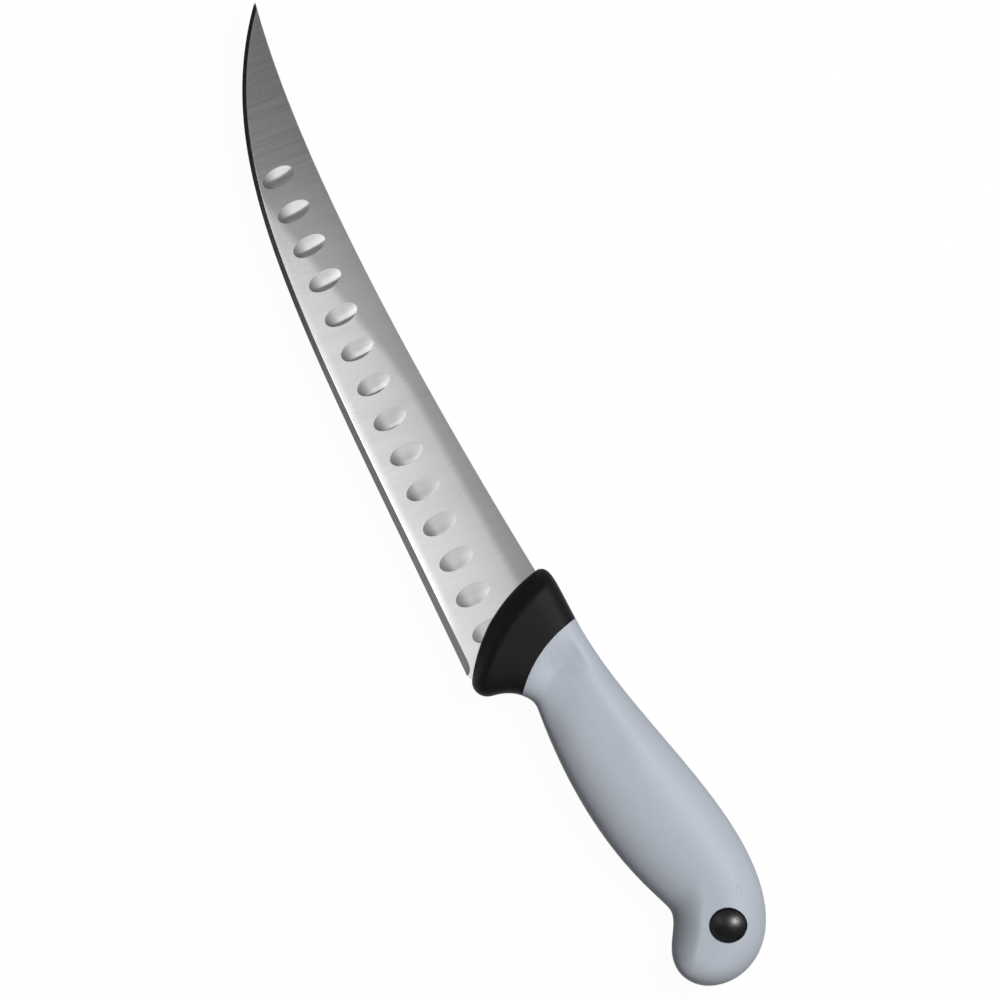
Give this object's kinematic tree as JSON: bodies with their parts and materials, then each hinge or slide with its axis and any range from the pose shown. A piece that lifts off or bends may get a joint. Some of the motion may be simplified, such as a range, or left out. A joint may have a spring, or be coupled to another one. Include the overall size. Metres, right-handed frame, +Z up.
{
  "type": "butcher knife",
  "caption": "Butcher's knife with an upswept, scallop-ground steel blade, a black collar with a finger guard, and a moulded grip with a thumb rest and a hooked butt.",
  "frame": {"origin": "under the middle of the knife as it lies on its side, at the level of the lowest point of the grip", "axes": "+X from the blade's tip to the butt, +Y from the cutting edge to the spine, +Z up out of the blade's face"},
  "size_m": [0.344, 0.0554, 0.023],
  "materials": {
    "blade_steel": "cross-ground stainless steel",
    "collar_black": "satin black moulding",
    "core_dark": "plain inner moulding",
    "grip_grey": "fine matt blue-grey moulding",
    "plug_black": "polished black"
  },
  "bodies": {
    "root": {"blade": "blade_steel", "front_collar": "collar_black", "handle_core": "core_dark", "grip": "grip_grey", "butt_plug_left": "plug_black", "butt_plug_right": "plug_black"}
  },
  "joints": []
}
